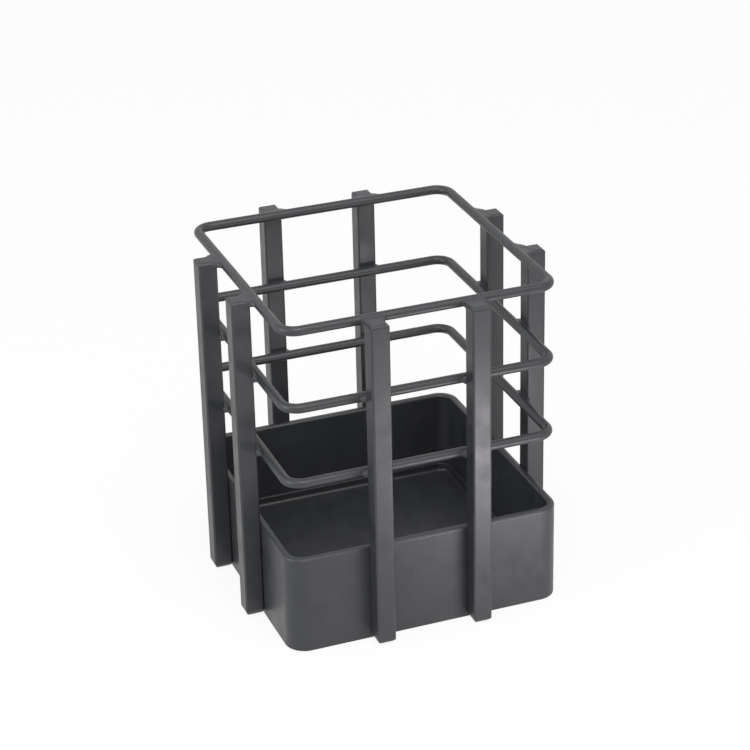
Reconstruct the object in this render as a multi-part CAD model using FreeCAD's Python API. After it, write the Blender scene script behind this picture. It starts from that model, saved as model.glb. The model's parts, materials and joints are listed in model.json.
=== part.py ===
import FreeCAD, Part
import math
import os

from FreeCAD import Vector

# Table-top cutlery holder: a cage of eight square bars and three bent wire rings,
# welded round a sheet-metal cup whose floor is a pan set in at its foot.
# Millimetres. X runs along the front, Y towards the rear, Z up. The origin is the
# centre of the footprint, on the surface that the holder stands on.

# Plan, measured over the outside of the cup, on which the posts stand
frame_width = 90.0
frame_depth = 90.0

# Square bar posts, two on each side, their tops a little above the top ring's centre,
# their feet ground rounder than their tops
bar_size = 6.0
bar_edge_radius = 0.6
bar_top_radius = 1.1
bar_foot_radius = 2.4
post_spacing_front = 32.0
post_spacing_side = 32.0
post_top_rise = 0.8

# Wire rings, set in from the posts, the bend measured to the wire's centre line
wire_diameter = 3.0
ring_set_in = 0.6
ring_bend_radius = 5.0
ring_pitch = 25.0

# Cup wall, the corner radius measured outside
cup_height = 32.3
cup_wall_thickness = 2.4
cup_corner_radius = 6.5
cup_rim_radius = 0.9
cup_foot_radius = 0.3

# Floor pan, pressed with a short upturned flange
pan_thickness = 1.2
pan_floor_height = 4.0
pan_flange_height = 2.8
pan_bend_radius = 1.0
pan_edge_radius = 0.3
pan_corner_relief = 0.4

# Weld beads, which bridge the gap between a post and a ring and run out along both
weld_run_on_wire = 1.8
top_weld_run_on_wire = 4.4
weld_run_on_post = 1.3
weld_throat_radius = 0.65
weld_bite = 0.35
weld_tail_height = 1.4
weld_hollow = 0.5
top_weld_lap = 1.0
top_weld_hollow = 0.1

# Largest rounding, as a share of the thickness that it rounds
rounding_share = 0.45

# Sizes that follow from the driving dimensions
half_bar = bar_size / 2
wire_radius = wire_diameter / 2
wire_reach = ring_set_in + wire_radius
tail_half_height = weld_tail_height / 2
ring_levels = {
    "lower": cup_height + ring_pitch,
    "middle": cup_height + 2 * ring_pitch,
    "top": cup_height + 3 * ring_pitch,
}
post_height = ring_levels["top"] + post_top_rise

# Sides of the square, in the order of their outward quarter turns about Z
SIDES = ("right", "rear", "left", "front")

# The side that each post stands on, and which end of that side it is nearer,
# counted anticlockwise as seen from above
POSTS = {
    "front_left_post": ("front", -1),
    "front_right_post": ("front", 1),
    "right_front_post": ("right", -1),
    "right_rear_post": ("right", 1),
    "rear_right_post": ("rear", -1),
    "rear_left_post": ("rear", 1),
    "left_rear_post": ("left", -1),
    "left_front_post": ("left", 1),
}


def line(start, end):
    """Edge of the straight line between two points."""
    return Part.LineSegment(start, end).toShape()


def arc(start, middle, end):
    """Edge of the arc through three points."""
    return Part.Arc(start, middle, end).toShape()


def sagging_arc(start, end, sag):
    """Edge of a shallow arc between two points, its middle off the chord by sag."""
    return arc(start, (start + end) / 2 + sag, end)


def limited(radius, thickness):
    """A rounding, kept to what the thickness has room for."""
    return min(radius, rounding_share * thickness)


def rounded_rectangle(width, depth, corner, level):
    """Closed wire of a rectangle with round corners, its first edge the front side."""
    centre = Vector(width / 2 - corner, depth / 2 - corner, level)
    points = []
    for quarter, (x_sign, y_sign) in enumerate([(1, -1), (1, 1), (-1, 1), (-1, -1)]):
        for step in (-1.0, -0.5, 0.0):
            angle = math.radians(90 * (quarter + step))
            out = Vector(math.cos(angle), math.sin(angle), 0) * corner
            points.append(Vector(x_sign * centre.x, y_sign * centre.y, level) + out)
    edges = []
    for first in range(0, len(points), 3):
        edges.append(line(points[first - 1], points[first]))
        edges.append(arc(*points[first:first + 3]))
    return Part.Wire(edges)


def rounded_block(width, depth, corner, bottom, top):
    """Upright prism on a round-cornered rectangle."""
    base = Part.Face(rounded_rectangle(width, depth, corner, bottom))
    return base.extrude(Vector(0, 0, top - bottom))


def edges_at_level(solid, level):
    """The edges of a solid that lie in one horizontal plane."""
    found = []
    for edge in solid.Edges:
        box = edge.BoundBox
        if abs(box.ZMin - level) < 1e-6 and abs(box.ZMax - level) < 1e-6:
            found.append(edge)
    return found


def single_solid(shape):
    """The largest solid of a shape that should hold only one."""
    return max(shape.Solids, key=lambda solid: solid.Volume)


def ground_round(bar, radius, bottom, top):
    """A bar cut both ways to a round-cornered profile that reaches between two levels."""
    corner = limited(radius, bar_size)
    profile = rounded_block(bar_size, top - bottom, corner, -half_bar, half_bar)
    profile.rotate(Vector(0, 0, 0), Vector(1, 0, 0), 90)
    profile.translate(Vector(0, 0, (bottom + top) / 2))
    bar = bar.common(profile)
    profile.rotate(Vector(0, 0, 0), Vector(0, 0, 1), 90)
    return bar.common(profile)


def make_post():
    """One bar, its ends ground round, standing with its inner face on the YZ plane."""
    bar = rounded_block(bar_size, bar_size, bar_edge_radius, 0.0, post_height)
    bar = ground_round(bar, bar_top_radius, -post_height, post_height)
    bar = ground_round(bar, bar_foot_radius, 0.0, 2 * post_height)
    bar.translate(Vector(half_bar, 0, 0))
    return single_solid(bar)


def place_on_side(shape, name):
    """Move a shape from the YZ plane to a post's place on its side of the frame."""
    side, end = POSTS[name]
    across = side in ("front", "rear")
    reach = frame_depth / 2 if across else frame_width / 2
    spacing = post_spacing_front if across else post_spacing_side
    placed = shape.copy()
    placed.translate(Vector(reach, end * spacing / 2, 0))
    placed.rotate(Vector(0, 0, 0), Vector(0, 0, 1), 90 * SIDES.index(side))
    return placed


def make_ring(level):
    """A wire bent to a square with round corners, its ends butt-welded."""
    width = frame_width - 2 * wire_reach
    depth = frame_depth - 2 * wire_reach
    path = rounded_rectangle(width, depth, ring_bend_radius, level)
    start = Vector(ring_bend_radius - width / 2, -depth / 2, level)
    section = Part.Wire(Part.Circle(start, Vector(1, 0, 0), wire_radius).toShape())
    return single_solid(path.makePipeShell([section], True, True))


def make_cup_wall():
    """Band of sheet bent to a square with round corners, rim and foot softened."""
    inner_width = frame_width - 2 * cup_wall_thickness
    inner_depth = frame_depth - 2 * cup_wall_thickness
    inner_corner = cup_corner_radius - cup_wall_thickness
    wall = rounded_block(frame_width, frame_depth, cup_corner_radius, 0.0, cup_height)
    wall = wall.cut(rounded_block(inner_width, inner_depth, inner_corner, 0.0, cup_height))
    rim = limited(cup_rim_radius, cup_wall_thickness)
    wall = wall.makeFillet(rim, edges_at_level(wall, cup_height))
    foot = limited(cup_foot_radius, cup_wall_thickness)
    wall = wall.makeFillet(foot, edges_at_level(wall, 0.0))
    return single_solid(wall)


def make_floor_pan():
    """Pressed tray whose flange stands flat against the inside of the cup wall."""
    width = frame_width - 2 * cup_wall_thickness
    depth = frame_depth - 2 * cup_wall_thickness
    corner = cup_corner_radius - cup_wall_thickness + pan_corner_relief
    bottom = pan_floor_height - pan_thickness
    top = pan_floor_height + pan_flange_height

    outside = rounded_block(width, depth, corner, bottom, top)
    outer_bend = limited(pan_bend_radius + pan_thickness, 2 * corner)
    outside = outside.makeFillet(outer_bend, edges_at_level(outside, bottom))

    inner_width = width - 2 * pan_thickness
    inner_depth = depth - 2 * pan_thickness
    inner_corner = corner - pan_thickness
    hollow = rounded_block(inner_width, inner_depth, inner_corner, pan_floor_height, top)
    inner_bend = limited(pan_bend_radius, 2 * inner_corner)
    hollow = hollow.makeFillet(inner_bend, edges_at_level(hollow, pan_floor_height))

    pan = outside.cut(hollow)
    pan = pan.makeFillet(limited(pan_edge_radius, pan_thickness), edges_at_level(pan, top))
    return single_solid(pan)


def mirrored(edges, normal):
    """An open outline with its mirror image in a plane through the origin."""
    return edges + [edge.mirror(Vector(0, 0, 0), normal) for edge in edges]


def closed_face(edges):
    """The flat face inside edges that meet end to end, in whatever order."""
    return Part.Face(Part.Wire(Part.__sortEdges__(edges)))


def both_ways(face, half_length):
    """Prism on a face, reaching as far to one side of it as to the other."""
    length = Vector(*half_length)
    face.translate(length * -1)
    return face.extrude(length * 2)


def weld_plan(run):
    """The bead seen from above: hollow flares from the wire to the post's sides."""
    tail = Vector(-ring_set_in - weld_bite, half_bar + run, 0)
    shoulder = Vector(weld_run_on_post, half_bar - weld_bite, 0)
    behind_tail = Vector(-wire_reach, tail.y, 0)
    edges = [
        line(Vector(-wire_reach, 0, 0), behind_tail),
        line(behind_tail, tail),
        sagging_arc(tail, shoulder, Vector(-weld_hollow, -weld_hollow, 0)),
        line(shoulder, Vector(weld_run_on_post, 0, 0)),
    ]
    face = closed_face(mirrored(edges, Vector(0, 1, 0)))
    return both_ways(face, (0, 0, wire_diameter))


def weld_front(run, height):
    """The bead seen from outside: full height at the post, thin at its two tails."""
    tail = Vector(0, half_bar + run, tail_half_height)
    shoulder = Vector(0, half_bar, height)
    edges = [
        line(Vector(0, 0, height), shoulder),
        sagging_arc(shoulder, tail, Vector(0, 0, -weld_hollow / 2)),
        line(tail, Vector(0, tail.y, 0)),
    ]
    face = closed_face(mirrored(mirrored(edges, Vector(0, 0, 1)), Vector(0, 1, 0)))
    return both_ways(face, (wire_reach + weld_run_on_post, 0, 0))


def throat_height():
    """How far above the wire's centre the throat runs out on the post's inner face."""
    slope = wire_radius + weld_throat_radius
    across = wire_reach - weld_throat_radius
    return math.sqrt(slope ** 2 - across ** 2)


def plain_half():
    """Half the bead seen along the wire: a hollow throat from the wire to the post."""
    wire_centre = Vector(-wire_reach, 0, 0)
    on_post = Vector(0, 0, throat_height())
    centre = on_post - Vector(weld_throat_radius, 0, 0)
    to_wire = (wire_centre - centre).normalize()
    on_wire = centre + to_wire * weld_throat_radius
    halfway = (to_wire + Vector(1, 0, 0)).normalize()
    toe = Vector(weld_run_on_post, 0, tail_half_height)
    return [
        line(wire_centre, on_wire),
        arc(on_wire, centre + halfway * weld_throat_radius, on_post),
        line(on_post, toe),
        line(toe, Vector(weld_run_on_post, 0, 0)),
    ]


def capped_half():
    """Upper half of a top bead: a shallow cap from the wire out on the post's end."""
    wire_centre = Vector(-wire_reach, 0, 0)
    crown = wire_centre + Vector(1, 0, math.sqrt(3)) * (wire_radius / 2)
    toe = Vector(top_weld_lap, 0, post_top_rise - weld_bite / 2)
    shoulder = Vector(weld_run_on_post, 0, toe.z)
    return [
        line(wire_centre, crown),
        sagging_arc(crown, toe, Vector(0, 0, -top_weld_hollow)),
        line(toe, shoulder),
        line(shoulder, Vector(weld_run_on_post, 0, 0)),
    ]


def make_weld_blank(run, upper_half):
    """A bead before the wire and the post are taken out of it."""
    lower_half = [edge.mirror(Vector(0, 0, 0), Vector(0, 0, 1)) for edge in plain_half()]
    side = both_ways(closed_face(upper_half + lower_half), (0, bar_size + run, 0))
    height = max(throat_height(), wire_radius)
    return weld_plan(run).common(side).common(weld_front(run, height))


def weld_at(blank, name, level, post, ring):
    """One bead between a post and a ring, fitted against both."""
    raised = blank.copy()
    raised.translate(Vector(0, 0, level))
    bead = place_on_side(raised, name)
    return single_solid(bead.cut(ring).cut(post))


def build():
    """Every piece of the holder by its name."""
    pieces = {"cup_wall": make_cup_wall(), "floor_pan": make_floor_pan()}
    rings = {place: make_ring(level) for place, level in ring_levels.items()}
    for place, ring in rings.items():
        pieces[place + "_ring"] = ring
    plain_blank = make_weld_blank(weld_run_on_wire, plain_half())
    top_blank = make_weld_blank(top_weld_run_on_wire, capped_half())
    blanks = {"lower": plain_blank, "middle": plain_blank, "top": top_blank}
    post = make_post()
    for name in POSTS:
        standing = place_on_side(post, name)
        beads = []
        for place, level in ring_levels.items():
            beads.append(weld_at(blanks[place], name, level, standing, rings[place]))
        pieces[name] = standing
        pieces[name + "_welds"] = Part.makeCompound(beads)
    return pieces


os.makedirs("parts", exist_ok=True)
for name, shape in build().items():
    shape.exportStep("parts/" + name + ".step")
    print(name, len(shape.Solids), round(shape.Volume, 2), shape.isValid())
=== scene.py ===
"""Looks of an open cutlery holder: eight square bars, three wire rings and a sheet cup.

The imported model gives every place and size. This script adds the finish of each piece,
the weld beads, a pale studio and the camera. Lengths are in metres.
"""

import json
import logging
import math
import random
from dataclasses import dataclass, field
from enum import Enum

import bmesh
import bpy
from mathutils import Matrix, Vector

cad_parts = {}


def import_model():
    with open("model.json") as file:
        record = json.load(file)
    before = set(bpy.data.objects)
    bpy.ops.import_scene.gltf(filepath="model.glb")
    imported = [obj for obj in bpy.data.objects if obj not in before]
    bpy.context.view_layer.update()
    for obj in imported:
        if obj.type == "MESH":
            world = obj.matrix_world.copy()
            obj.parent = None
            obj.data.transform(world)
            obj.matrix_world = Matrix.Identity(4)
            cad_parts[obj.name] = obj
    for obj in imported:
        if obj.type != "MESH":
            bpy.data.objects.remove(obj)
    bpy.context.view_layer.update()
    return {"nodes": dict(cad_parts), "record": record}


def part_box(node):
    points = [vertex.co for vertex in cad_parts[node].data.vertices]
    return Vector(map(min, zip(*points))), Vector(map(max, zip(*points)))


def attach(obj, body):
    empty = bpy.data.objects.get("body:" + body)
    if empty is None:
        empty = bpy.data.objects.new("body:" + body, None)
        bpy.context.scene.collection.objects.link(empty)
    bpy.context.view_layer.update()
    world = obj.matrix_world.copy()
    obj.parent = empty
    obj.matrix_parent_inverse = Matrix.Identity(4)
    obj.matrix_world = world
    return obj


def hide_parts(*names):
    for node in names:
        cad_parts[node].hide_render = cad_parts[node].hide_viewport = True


log = logging.getLogger("cutlery_holder")
MILLIMETRE = 0.001
WHITE = (1.0, 1.0, 1.0, 1.0)


class Coat(Enum):
    """The record's finish slots."""

    BAR = "coated_bar"
    WIRE = "coated_wire"
    SHEET = "coated_sheet"
    PAN = "coated_pan"
    WELD = "coated_weld"


# Length of the left and right tail of each bead at the top ring, as seen from outside
# the cage, as shares of the bead's run: the torch left each of them longer on one side.
TOP_TAILS = {
    "front_left_post": (0.15, 0.35),
    "front_right_post": (0.15, 0.35),
    "right_front_post": (0.4, 1.0),
    "right_rear_post": (0.35, 1.0),
    "rear_right_post": (1.0, 0.25),
    "rear_left_post": (1.0, 0.25),
    "left_rear_post": (0.45, 0.6),
    "left_front_post": (0.35, 0.45),
}


@dataclass(frozen=True)
class PowderCoat:
    """Satin charcoal powder coat, baked on steel.

    Attributes:
        coat: The record slot that this finish belongs to.
        colour: Linear colour of the film.
        colour_swing: How far the colour wanders, as a share of itself.
        refraction: Refractive index of the film.
        roughness: Mean roughness of the skin.
        roughness_swing: How far the roughness wanders across a piece.
        peel_size: Width of one dimple of the orange peel.
        peel_depth: Depth of the dimples.
        peel_detail: Octaves of finer noise in the orange peel.
        flow_size: Width of the slow waves left where the powder flowed.
        flow_depth: Depth of those waves.
        flow_detail: Octaves of finer noise in the waves.
        noise_span: The two values between which the noise mostly lies.
        noise_gain: How much each finer octave of noise counts.
    """

    coat: Coat
    colour: tuple[float, float, float] = (0.026, 0.0275, 0.0305)
    colour_swing: float = 0.08
    refraction: float = 1.5
    roughness: float = 0.42
    roughness_swing: float = 0.06
    peel_size: float = 0.9 * MILLIMETRE
    peel_depth: float = 0.006 * MILLIMETRE
    peel_detail: float = 1.0
    flow_size: float = 6.0 * MILLIMETRE
    flow_depth: float = 0.02 * MILLIMETRE
    flow_detail: float = 2.0
    noise_span: tuple[float, float] = (0.3, 0.7)
    noise_gain: float = 0.5

    def material(self) -> bpy.types.Material:
        """Build the node material of this finish.

        Returns:
            A material whose colour, roughness and relief come from its nodes.
        """
        made = bpy.data.materials.new(self.coat.value)
        made.use_nodes = True
        tree = made.node_tree
        tree.nodes.clear()
        output = tree.nodes.new("ShaderNodeOutputMaterial")
        skin = tree.nodes.new("ShaderNodeBsdfPrincipled")
        skin.inputs["IOR"].default_value = self.refraction
        tree.links.new(skin.outputs["BSDF"], output.inputs["Surface"])
        place = tree.nodes.new("ShaderNodeTexCoord").outputs["Object"]
        flow = self.noise(tree, place, self.flow_size, self.flow_detail)
        peel = self.noise(tree, place, self.peel_size, self.peel_detail)
        self.tint(tree, flow, skin)
        self.gloss(tree, flow, skin)
        waves = self.bumps(tree, flow, self.flow_depth)
        dimples = self.bumps(tree, peel, self.peel_depth)
        tree.links.new(waves.outputs["Normal"], dimples.inputs["Normal"])
        tree.links.new(dimples.outputs["Normal"], skin.inputs["Normal"])
        return made

    def noise(self, tree: bpy.types.NodeTree, place: bpy.types.NodeSocket, size: float,
              detail: float) -> bpy.types.NodeSocket:
        """Add soft noise of one grain size.

        Args:
            tree: The node tree to add to.
            place: Object coordinates.
            size: Width of one grain.
            detail: Octaves of finer noise.

        Returns:
            The noise value's socket.
        """
        node = tree.nodes.new("ShaderNodeTexNoise")
        node.inputs["Scale"].default_value = 1.0 / size
        node.inputs["Detail"].default_value = detail
        node.inputs["Roughness"].default_value = self.noise_gain
        tree.links.new(place, node.inputs["Vector"])
        return node.outputs["Fac"]

    def tint(self, tree: bpy.types.NodeTree, flow: bpy.types.NodeSocket,
             skin: bpy.types.ShaderNode) -> None:
        """Vary the film's colour a little with its thickness.

        Args:
            tree: The node tree to add to.
            flow: The slow noise, which stands for the film's thickness.
            skin: The shader that takes the colour.
        """
        ramp = tree.nodes.new("ShaderNodeValToRGB")
        swings = (-self.colour_swing, self.colour_swing)
        for stop, value, swing in zip(ramp.color_ramp.elements, self.noise_span, swings):
            stop.position = value
            stop.color = (*((1.0 + swing) * channel for channel in self.colour), 1.0)
        tree.links.new(flow, ramp.inputs["Fac"])
        tree.links.new(ramp.outputs["Color"], skin.inputs["Base Color"])

    def gloss(self, tree: bpy.types.NodeTree, flow: bpy.types.NodeSocket,
              skin: bpy.types.ShaderNode) -> None:
        """Let the roughness wander round its mean.

        Args:
            tree: The node tree to add to.
            flow: The slow noise that drives it.
            skin: The shader that takes the roughness.
        """
        span = tree.nodes.new("ShaderNodeMapRange")
        span.inputs["From Min"].default_value = self.noise_span[0]
        span.inputs["From Max"].default_value = self.noise_span[1]
        span.inputs["To Min"].default_value = self.roughness - self.roughness_swing
        span.inputs["To Max"].default_value = self.roughness + self.roughness_swing
        tree.links.new(flow, span.inputs["Value"])
        tree.links.new(span.outputs["Result"], skin.inputs["Roughness"])

    def bumps(self, tree: bpy.types.NodeTree, height: bpy.types.NodeSocket,
              depth: float) -> bpy.types.ShaderNode:
        """Turn noise into relief.

        Args:
            tree: The node tree to add to.
            height: The noise that gives the height.
            depth: Height between the lowest and the highest noise.

        Returns:
            The bump node.
        """
        node = tree.nodes.new("ShaderNodeBump")
        node.inputs["Distance"].default_value = depth
        node.inputs["Strength"].default_value = 1.0
        tree.links.new(height, node.inputs["Height"])
        return node


@dataclass
class CarriedPieces:
    """CAD nodes whose shape is right, and which only take a finish.

    Attributes:
        nodes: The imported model's objects by node name.
        finishes: The material of each slot.
        slots: The slot of each node.
    """

    nodes: dict[str, bpy.types.Object]
    finishes: dict[Coat, bpy.types.Material]
    slots: dict[str, Coat]

    def dress(self) -> None:
        """Give each node its finish."""
        for name, coat in self.slots.items():
            mesh = self.nodes[name].data
            mesh.materials.clear()
            mesh.materials.append(self.finishes[coat])
            log.info("%s takes %s", name, coat.value)


@dataclass(frozen=True)
class Joint:
    """Where one ring passes one post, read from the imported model.

    Local X points outward from the post's inner face, Y runs along the wire and Z up,
    from the level of the wire's centre.

    Attributes:
        post: Node of the post.
        ring: Node of the ring.
        place: Turns and moves local points to where the joint is.
        half_bar: Half the width of the post.
        wire_radius: Radius of the wire.
        gap: Clear distance between the wire and the post's inner face.
        post_rise: How far the post goes on above the wire's centre.
    """

    post: str
    ring: str
    place: Matrix
    half_bar: float
    wire_radius: float
    gap: float
    post_rise: float

    @classmethod
    def between(cls, post: str, ring: str) -> "Joint":
        """Measure the joint of a post and a ring.

        Args:
            post: Node of the post.
            ring: Node of the ring.

        Returns:
            The joint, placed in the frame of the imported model.
        """
        bar_low, bar_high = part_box(post)
        ring_low, ring_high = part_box(ring)
        bar_middle = (bar_low + bar_high) / 2
        ring_middle = (ring_low + ring_high) / 2
        axis = 0 if abs(bar_middle.x) > abs(bar_middle.y) else 1
        half_bar = (bar_high[axis] - bar_low[axis]) / 2
        inner_face = abs(bar_middle[axis]) - half_bar
        outward = Vector((0.0, 0.0, 0.0))
        outward[axis] = math.copysign(1.0, bar_middle[axis])
        foot = Vector((bar_middle.x, bar_middle.y, ring_middle.z))
        foot[axis] = outward[axis] * inner_face
        turn = Matrix.Rotation(math.atan2(outward.y, outward.x), 4, "Z")
        return cls(
            post=post,
            ring=ring,
            place=Matrix.Translation(foot) @ turn,
            half_bar=half_bar,
            wire_radius=(ring_high.z - ring_low.z) / 2,
            gap=inner_face - ring_high[axis],
            post_rise=bar_high.z - ring_middle.z,
        )


@dataclass(frozen=True)
class BeadSection:
    """One cross-section of a weld bead.

    Attributes:
        along: Distance of the section from the post's middle, along the wire.
        reach: How far it goes outward from the post's inner face.
        rise: Height of its outer edge above the wire's centre.
        dip: Depth of its outer edge below the wire's centre.
        lap: How far up the wire's side it starts, as a share of the radius.
    """

    along: float
    reach: float
    rise: float
    dip: float
    lap: float


@dataclass(frozen=True)
class TailStep:
    """How far a bead has thinned at one place along its tail.

    Attributes:
        out: Distance from the post's side, as a share of the tail's length.
        climb: Distance outward from the wire's skin, as a share of the bead's climb.
        rise: Height of the upper edge, as a share of the bead's height at the post.
        dip: Depth of the lower edge, as a share of the throat.
        lap: How far up the wire's side it starts, as a share of the radius.
    """

    out: float
    climb: float
    rise: float
    dip: float
    lap: float


@dataclass
class WeldBead:
    """A weld bead as the torch leaves it, hollow, smooth and a little uneven.

    Attributes:
        joint: The joint that it fills.
        finish: Its material.
        seed: Picks the unevenness of this bead.
        tails: Shares of the run that the left and right tail reach, seen from outside.
        run: How far a full tail runs out along the wire beyond the post.
        climb: How far it runs outward along the post's sides.
        throat: Height of the bead on the post, from the wire's centre.
        root: How far it reaches past the post's inner face, within the post's width.
        lap: How far up the wire's side it starts at the post, as a share of the radius.
        side: Where it is highest, as a share of half the post's width.
        sag: Height behind the post's middle, as a share of the throat.
        shoulder_out: Distance of its shoulder from the post, as a share of the tail.
        shoulder_height: Height of the shoulder, as a share of the throat.
        steps: How the tail thins beyond the shoulder.
        hold: Where its outline leaves the wire, as a share of the radius outward.
        hollow: Height halfway out, as a share of the height at its outer edge.
        least_hollow: Least height halfway out, as a share of the height on the wire.
        bulge: How far its outer face swells, as a share of the climb.
        unevenness: Largest shift of a point of its cage.
        smoothing: Rounds of subdivision.
    """

    joint: Joint
    finish: bpy.types.Material
    seed: int
    tails: tuple[float, float] = (1.0, 1.0)
    run: float = 1.8 * MILLIMETRE
    climb: float = 0.9 * MILLIMETRE
    throat: float = 1.6 * MILLIMETRE
    root: float = 0.3 * MILLIMETRE
    lap: float = 0.8
    side: float = 0.8
    sag: float = 0.92
    shoulder_out: float = 0.1
    shoulder_height: float = 0.75
    steps: tuple[TailStep, ...] = (
        TailStep(out=0.5, climb=0.4, rise=0.5, dip=0.5, lap=0.7),
        TailStep(out=1.0, climb=-0.1, rise=0.2, dip=0.2, lap=0.5),
    )
    hold: float = 0.3
    hollow: float = 0.62
    least_hollow: float = 0.5
    bulge: float = 0.15
    unevenness: float = 0.07 * MILLIMETRE
    smoothing: int = 2

    def lower_edge(self) -> list[float]:
        """Depth behind the post's middle, at its side and at the shoulder."""
        return [self.sag * self.throat, self.throat, self.shoulder_height * self.throat]

    def upper_edge(self) -> list[float]:
        """Height behind the post's middle, at its side and at the shoulder."""
        return self.lower_edge()

    def sections(self, tail: float) -> list[BeadSection]:
        """Work out the sections from the post's middle out along one tail.

        Args:
            tail: Length of the tail beyond the post's side.

        Returns:
            The sections, the last one at the tail's tip.
        """
        half = self.joint.half_bar
        skin = -self.joint.gap
        places = [0.0, self.side * half, half + self.shoulder_out * tail]
        reaches = [self.root, self.root, self.climb]
        stations = zip(places, reaches, self.upper_edge(), self.lower_edge())
        cuts = [BeadSection(*station, self.lap) for station in stations]
        height = self.upper_edge()[1]
        for step in self.steps:
            cuts.append(BeadSection(
                along=half + step.out * tail,
                reach=skin + step.climb * self.climb,
                rise=step.rise * height,
                dip=step.dip * self.throat,
                lap=step.lap,
            ))
        return cuts

    def loop(self, form: bmesh.types.BMesh, section: BeadSection, side: int,
             dice: random.Random) -> list[bmesh.types.BMEdge]:
        """Draw one section as a closed loop of eight points.

        Args:
            form: The mesh under way.
            section: What to draw.
            side: 1 or -1, the end of the bead that it belongs to.
            dice: Source of the unevenness.

        Returns:
            The loop's edges.
        """
        radius = self.joint.wire_radius
        centre = -self.joint.gap - radius
        start = centre + self.hold * radius
        lap = section.lap * radius
        halfway = (centre + radius + section.reach) / 2
        least = self.least_hollow * lap
        outline = [
            (start, lap),
            (halfway, max(self.hollow * section.rise, least)),
            (section.reach, section.rise),
            (section.reach + self.bulge * self.climb, 0.0),
            (section.reach, -section.dip),
            (halfway, -max(self.hollow * section.dip, least)),
            (start, -lap),
            (centre, 0.0),
        ]
        points = []
        for x, z in outline:
            shift = Vector([dice.uniform(-self.unevenness, self.unevenness) for _ in range(3)])
            points.append(form.verts.new(Vector((x, side * section.along, z)) + shift))
        return [form.edges.new((points[i - 1], points[i])) for i in range(len(points))]

    def build(self) -> bpy.types.Object:
        """Bridge the sections, close the tails and smooth the skin.

        Returns:
            The bead's object, riding on the body and standing for its CAD solid.
        """
        dice = random.Random(self.seed)
        form = bmesh.new()
        left = self.sections(self.tails[0] * self.run)
        right = self.sections(self.tails[1] * self.run)
        loops = [self.loop(form, section, -1, dice) for section in reversed(left[1:])]
        loops += [self.loop(form, section, 1, dice) for section in right]
        for first, second in zip(loops[:-1], loops[1:]):
            bmesh.ops.bridge_loops(form, edges=first + second)
        for end in (loops[0], loops[-1]):
            bmesh.ops.contextual_create(form, geom=end)
        bmesh.ops.recalc_face_normals(form, faces=form.faces)
        bmesh.ops.transform(form, matrix=self.joint.place, verts=form.verts)
        for face in form.faces:
            face.smooth = True
        return self.as_piece(form)

    def as_piece(self, form: bmesh.types.BMesh) -> bpy.types.Object:
        """Turn the finished form into an object that stands for its CAD solid.

        Args:
            form: The bead's mesh, which is used up.

        Returns:
            The object, with its finish and its smoothing.
        """
        name = f"{self.joint.post}_{self.joint.ring}_bead"
        mesh = bpy.data.meshes.new(name)
        form.to_mesh(mesh)
        form.free()
        mesh.materials.append(self.finish)
        bead = bpy.data.objects.new(name, mesh)
        bpy.context.scene.collection.objects.link(bead)
        smooth = bead.modifiers.new("smooth", "SUBSURF")
        smooth.levels = self.smoothing
        smooth.render_levels = self.smoothing
        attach(bead, "root")
        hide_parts(f"{self.joint.post}_welds")
        log.info("%s laid", name)
        return bead


@dataclass
class TopWeldBead(WeldBead):
    """The bead at the top ring, which flows over the post's end and far along the wire.

    Attributes:
        cap: Thickness of the bead on the post's end.
    """

    run: float = 5.0 * MILLIMETRE
    climb: float = 1.8 * MILLIMETRE
    throat: float = 1.9 * MILLIMETRE
    root: float = 1.8 * MILLIMETRE
    lap: float = 0.92
    shoulder_out: float = 0.06
    steps: tuple[TailStep, ...] = (
        TailStep(out=0.3, climb=0.5, rise=0.9, dip=0.5, lap=0.85),
        TailStep(out=0.6, climb=0.1, rise=0.7, dip=0.35, lap=0.8),
        TailStep(out=1.0, climb=-0.1, rise=0.3, dip=0.2, lap=0.6),
    )
    cap: float = 0.1 * MILLIMETRE

    def upper_edge(self) -> list[float]:
        """Height over the post's end, which it covers, and at the shoulder."""
        end = self.joint.post_rise + self.cap
        return [end, end, end - self.cap]


@dataclass
class WeldedJoints:
    """All the beads of the cage.

    Attributes:
        posts: Nodes of the posts.
        rings: Nodes of the rings.
        finish: The beads' material.
    """

    posts: list[str]
    rings: list[str]
    finish: bpy.types.Material

    def build(self) -> list[bpy.types.Object]:
        """Lay one bead wherever a post meets a ring.

        Returns:
            The beads, post by post.
        """
        beads = []
        for post in self.posts:
            for ring in self.rings:
                joint = Joint.between(post, ring)
                if ring == "top_ring":
                    bead = TopWeldBead(joint, self.finish, len(beads), TOP_TAILS[post])
                else:
                    bead = WeldBead(joint, self.finish, len(beads))
                beads.append(bead.build())
        return beads


@dataclass
class AreaLamp:
    """One soft box.

    Attributes:
        name: Object name.
        place: Centre of the box.
        aim: Point that it faces.
        size: Width and height.
        watts: Power.
        tint: Colour of the light.
    """

    name: str
    place: tuple[float, float, float]
    aim: tuple[float, float, float]
    size: tuple[float, float]
    watts: float
    tint: tuple[float, float, float] = (1.0, 1.0, 1.0)

    def build(self) -> bpy.types.Object:
        """Add the lamp to the scene.

        Returns:
            The lamp's object.
        """
        data = bpy.data.lights.new(self.name, "AREA")
        data.shape = "RECTANGLE"
        data.size = self.size[0]
        data.size_y = self.size[1]
        data.energy = self.watts
        data.color = self.tint
        lamp = bpy.data.objects.new(self.name, data)
        lamp.location = self.place
        facing = Vector(self.aim) - Vector(self.place)
        lamp.rotation_euler = facing.to_track_quat("-Z", "Y").to_euler()
        bpy.context.scene.collection.objects.link(lamp)
        log.info("%s hung", self.name)
        return lamp


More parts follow.
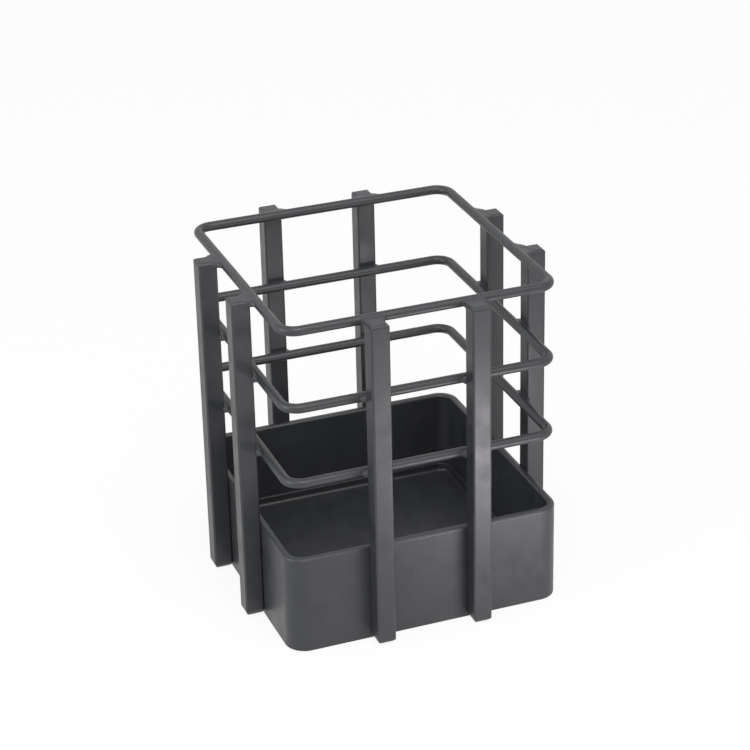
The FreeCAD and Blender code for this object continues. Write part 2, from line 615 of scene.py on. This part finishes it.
def finds_white(tree: bpy.types.NodeTree) -> bpy.types.NodeSocket:
    """Tell apart the rays that should find plain white: camera, glossy and clear.

    Args:
        tree: The node tree to add to.

    Returns:
        A socket that is 1 for those rays and 0 for all others.
    """
    path = tree.nodes.new("ShaderNodeLightPath")
    found = path.outputs["Is Camera Ray"]
    for kind in ("Is Glossy Ray", "Is Transmission Ray"):
        either = tree.nodes.new("ShaderNodeMath")
        either.operation = "MAXIMUM"
        tree.links.new(found, either.inputs[0])
        tree.links.new(path.outputs[kind], either.inputs[1])
        found = either.outputs["Value"]
    return found


@dataclass(frozen=True)
class PaleFloor:
    """Matt white floor, which fades to plain white and keeps a faint shadow.

    Attributes:
        colour: Linear colour under the lamps.
        fade: How far the camera finds plain white instead, as a share.
    """

    colour: tuple[float, float, float] = (0.9, 0.9, 0.9)
    fade: float = 0.9

    def material(self) -> bpy.types.Material:
        """Build the node material of the floor.

        Returns:
            A material that mixes a matt surface with plain white.
        """
        made = bpy.data.materials.new("pale_floor")
        made.use_nodes = True
        tree = made.node_tree
        tree.nodes.clear()
        output = tree.nodes.new("ShaderNodeOutputMaterial")
        matt = tree.nodes.new("ShaderNodeBsdfDiffuse")
        matt.inputs["Color"].default_value = (*self.colour, 1.0)
        plain = tree.nodes.new("ShaderNodeEmission")
        plain.inputs["Color"].default_value = WHITE
        plain.inputs["Strength"].default_value = 1.0
        share = tree.nodes.new("ShaderNodeMath")
        share.operation = "MULTIPLY"
        share.inputs[1].default_value = self.fade
        tree.links.new(finds_white(tree), share.inputs[0])
        mix = tree.nodes.new("ShaderNodeMixShader")
        tree.links.new(share.outputs["Value"], mix.inputs[0])
        tree.links.new(matt.outputs["BSDF"], mix.inputs[1])
        tree.links.new(plain.outputs["Emission"], mix.inputs[2])
        tree.links.new(mix.outputs["Shader"], output.inputs["Surface"])
        return made


@dataclass
class Studio:
    """Pale floor, white surround and soft lamps.

    Attributes:
        floor_half: Half the width of the floor.
        floor_finish: The floor's finish.
        background_level: Strength of the surround as the camera finds it, 1 for white.
        world_level: Strength of the surround as a light.
        lamps: The soft boxes, and a low card close to the front.
    """

    floor_half: float = 4.0
    floor_finish: PaleFloor = PaleFloor()
    background_level: float = 1.0
    world_level: float = 0.6
    lamps: list[AreaLamp] = field(default_factory=lambda: [
        AreaLamp(
            name="high_box",
            place=(0.0, -0.45, 0.83),
            aim=(0.0, 0.0, 0.05),
            size=(0.5, 0.5),
            watts=4.0,
        ),
        AreaLamp(
            name="left_box",
            place=(-0.83, -0.15, 0.36),
            aim=(0.0, 0.0, 0.05),
            size=(0.5, 0.5),
            watts=3.6,
        ),
        AreaLamp(
            name="low_card",
            place=(0.054, -0.138, 0.011),
            aim=(0.013, -0.045, 0.045),
            size=(0.055, 0.018),
            watts=0.075,
            tint=(1.0, 0.95, 0.98),
        ),
    ])

    def build(self) -> None:
        """Make the floor, the surround and the lamps."""
        self.floor()
        self.surround()
        for lamp in self.lamps:
            lamp.build()

    def floor(self) -> bpy.types.Object:
        """Lay the floor.

        Returns:
            The floor's object, which is part of the stage.
        """
        form = bmesh.new()
        bmesh.ops.create_grid(form, x_segments=1, y_segments=1, size=self.floor_half)
        mesh = bpy.data.meshes.new("floor")
        form.to_mesh(mesh)
        form.free()
        mesh.materials.append(self.floor_finish.material())
        plane = bpy.data.objects.new("floor", mesh)
        bpy.context.scene.collection.objects.link(plane)
        log.info("floor laid")
        return plane

    def surround(self) -> bpy.types.World:
        """Hang white for the camera and reflections, and a plain soft level as a light.

        Returns:
            The scene's world.
        """
        world = bpy.data.worlds.new("surround")
        bpy.context.scene.world = world
        world.use_nodes = True
        tree = world.node_tree
        tree.nodes.clear()
        output = tree.nodes.new("ShaderNodeOutputWorld")
        level = tree.nodes.new("ShaderNodeMapRange")
        level.inputs["To Min"].default_value = self.world_level
        level.inputs["To Max"].default_value = self.background_level
        tree.links.new(finds_white(tree), level.inputs["Value"])
        sky = tree.nodes.new("ShaderNodeBackground")
        sky.inputs["Color"].default_value = WHITE
        tree.links.new(level.outputs["Result"], sky.inputs["Strength"])
        tree.links.new(sky.outputs["Background"], output.inputs["Surface"])
        log.info("surround hung")
        return world


@dataclass
class PhotoCamera:
    """Camera at the photograph's viewing angle.

    Attributes:
        place: Where the camera stands.
        heading: Turn of the view to the right of +Y, in degrees.
        dip: How far the view points below the horizon, in degrees.
        lean: Roll of the camera, in degrees, clockwise as the picture is seen.
        focal_length: Focal length, in millimetres.
        sensor_width: Width of the sensor, in millimetres.
    """

    place: tuple[float, float, float] = (-0.2466, -0.6645, 0.4113)
    heading: float = 20.43
    dip: float = 25.94
    lean: float = -1.36
    focal_length: float = 120.0
    sensor_width: float = 36.0

    def build(self) -> bpy.types.Object:
        """Add the camera and make it the scene's own.

        Returns:
            The camera's object.
        """
        data = bpy.data.cameras.new("camera")
        data.sensor_width = self.sensor_width
        data.lens = self.focal_length
        camera = bpy.data.objects.new("camera", data)
        tilt = Matrix.Rotation(math.radians(90.0 - self.dip), 4, "X")
        turn = Matrix.Rotation(math.radians(-self.heading), 4, "Z")
        roll = Matrix.Rotation(math.radians(self.lean), 4, "Z")
        camera.matrix_world = Matrix.Translation(self.place) @ turn @ tilt @ roll
        bpy.context.scene.collection.objects.link(camera)
        bpy.context.scene.camera = camera
        log.info("camera placed")
        return camera


def main() -> None:
    """Build the camera, dress the pieces and light the studio."""
    logging.basicConfig(level=logging.INFO, format="%(message)s")
    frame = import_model()
    PhotoCamera().build()
    finishes = {coat: PowderCoat(coat).material() for coat in Coat}
    slots = {part["node"]: Coat(part["material_slot"]) for part in frame["record"]["subparts"]}
    CarriedPieces(frame["nodes"], finishes, slots).dress()
    posts = [name for name, coat in slots.items() if coat is Coat.BAR]
    rings = [name for name, coat in slots.items() if coat is Coat.WIRE]
    WeldedJoints(posts, rings, finishes[Coat.WELD]).build()
    Studio().build()
    bpy.context.scene.view_settings.view_transform = "Standard"


if __name__ == "__main__":
    main()
